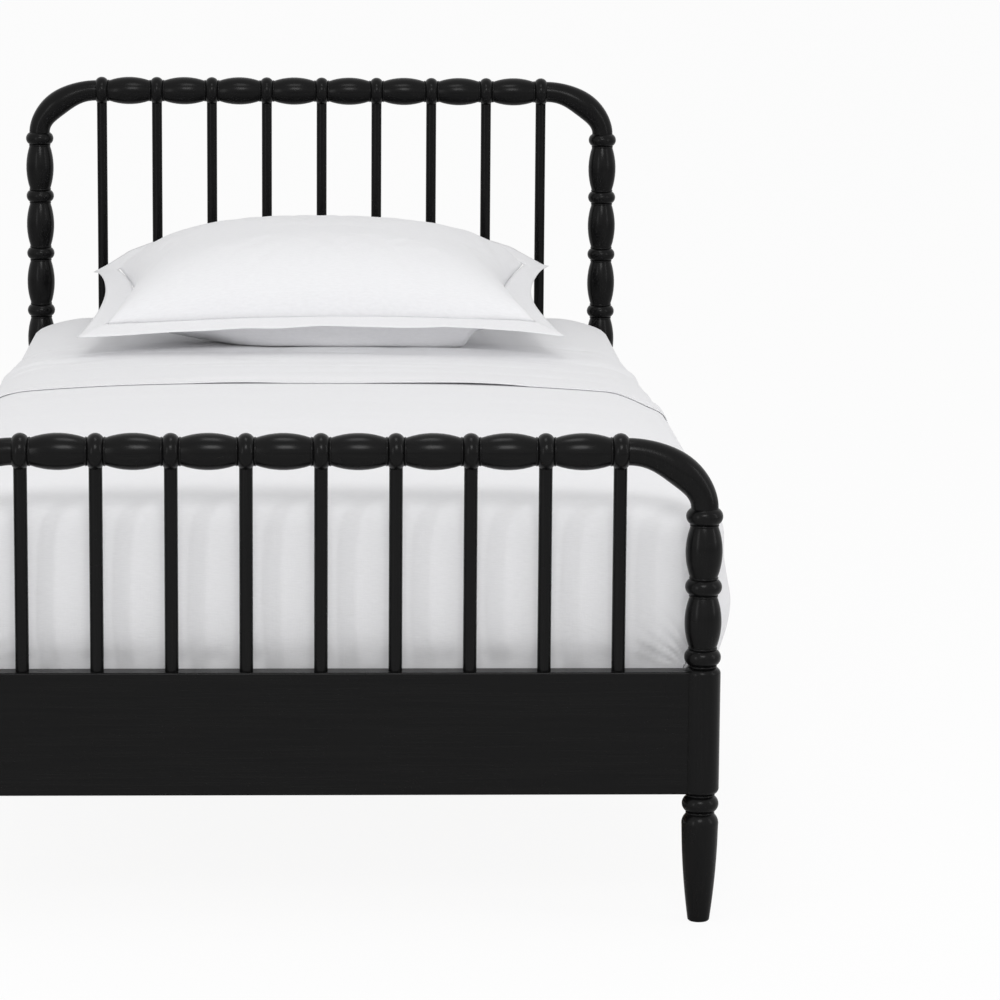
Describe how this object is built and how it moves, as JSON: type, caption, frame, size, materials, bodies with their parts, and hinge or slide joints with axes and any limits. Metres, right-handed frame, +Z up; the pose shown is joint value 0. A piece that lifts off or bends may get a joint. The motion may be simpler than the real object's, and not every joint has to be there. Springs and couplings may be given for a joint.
{
  "type": "spindle bed",
  "caption": "Single bed with bead-turned posts and rails, spindle head and foot, slatted base, mattress, tucked bedspread, turned-back sheet and pillow.",
  "frame": {"origin": "on the floor under the middle of the bed", "axes": "+Z up, +Y from the footboard to the headboard, +X to the right as seen from the foot"},
  "size_m": [1.108, 2.0244, 0.9865],
  "materials": {
    "black_paint": "satin black paint over turned rubberwood",
    "bare_wood": "planed bare wood",
    "steel": "zinc-plated steel",
    "foot_plastic": "black nylon pad on a steel stem",
    "mattress_ticking": "white fitted sheet over the mattress",
    "white_cotton": "smooth white cotton"
  },
  "bodies": {
    "bed": {"beam_hangers": "steel", "bedspread": "white_cotton", "centre_beam": "bare_wood", "centre_leg_1": "black_paint", "centre_leg_2": "black_paint", "corner_dowels": "bare_wood", "footboard_board": "black_paint", "footboard_corner_left": "black_paint", "footboard_corner_right": "black_paint", "footboard_post_left": "black_paint", "footboard_post_right": "black_paint", "footboard_spindle_1": "black_paint", "footboard_spindle_2": "black_paint", "footboard_spindle_3": "black_paint", "footboard_spindle_4": "black_paint", "footboard_spindle_5": "black_paint", "footboard_spindle_6": "black_paint", "footboard_spindle_7": "black_paint", "footboard_spindle_8": "black_paint", "footboard_spindle_9": "black_paint", "footboard_top_rail": "black_paint", "headboard_board": "black_paint", "headboard_corner_left": "black_paint", "headboard_corner_right": "black_paint", "headboard_post_left": "black_paint", "headboard_post_right": "black_paint", "headboard_spindle_1": "black_paint", "headboard_spindle_2": "black_paint", "headboard_spindle_3": "black_paint", "headboard_spindle_4": "black_paint", "headboard_spindle_5": "black_paint", "headboard_spindle_6": "black_paint", "headboard_spindle_7": "black_paint", "headboard_spindle_8": "black_paint", "headboard_spindle_9": "black_paint", "headboard_top_rail": "black_paint", "leg_inserts": "steel", "mattress": "mattress_ticking", "pillow": "white_cotton", "post_slot_plates": "steel", "rail_hook_plates": "steel", "side_rail_left": "black_paint", "side_rail_right": "black_paint", "slat_01": "bare_wood", "slat_02": "bare_wood", "slat_03": "bare_wood", "slat_04": "bare_wood", "slat_05": "bare_wood", "slat_06": "bare_wood", "slat_07": "bare_wood", "slat_08": "bare_wood", "slat_09": "bare_wood", "slat_10": "bare_wood", "slat_11": "bare_wood", "slat_ledger_left": "black_paint", "slat_ledger_right": "black_paint", "turned_back_sheet": "white_cotton", "wood_screws": "steel"},
    "levelling_foot_head": {"levelling_foot_1": "foot_plastic"},
    "levelling_foot_foot": {"levelling_foot_2": "foot_plastic"}
  },
  "joints": [
    {"name": "levelling_foot_head_slide", "type": "slide", "parent": "bed", "child": "levelling_foot_head", "axis": [0, 0, 1], "range_m": [-0.012, 0.008]},
    {"name": "levelling_foot_foot_slide", "type": "slide", "parent": "bed", "child": "levelling_foot_foot", "axis": [0, 0, 1], "range_m": [-0.012, 0.008]}
  ]
}
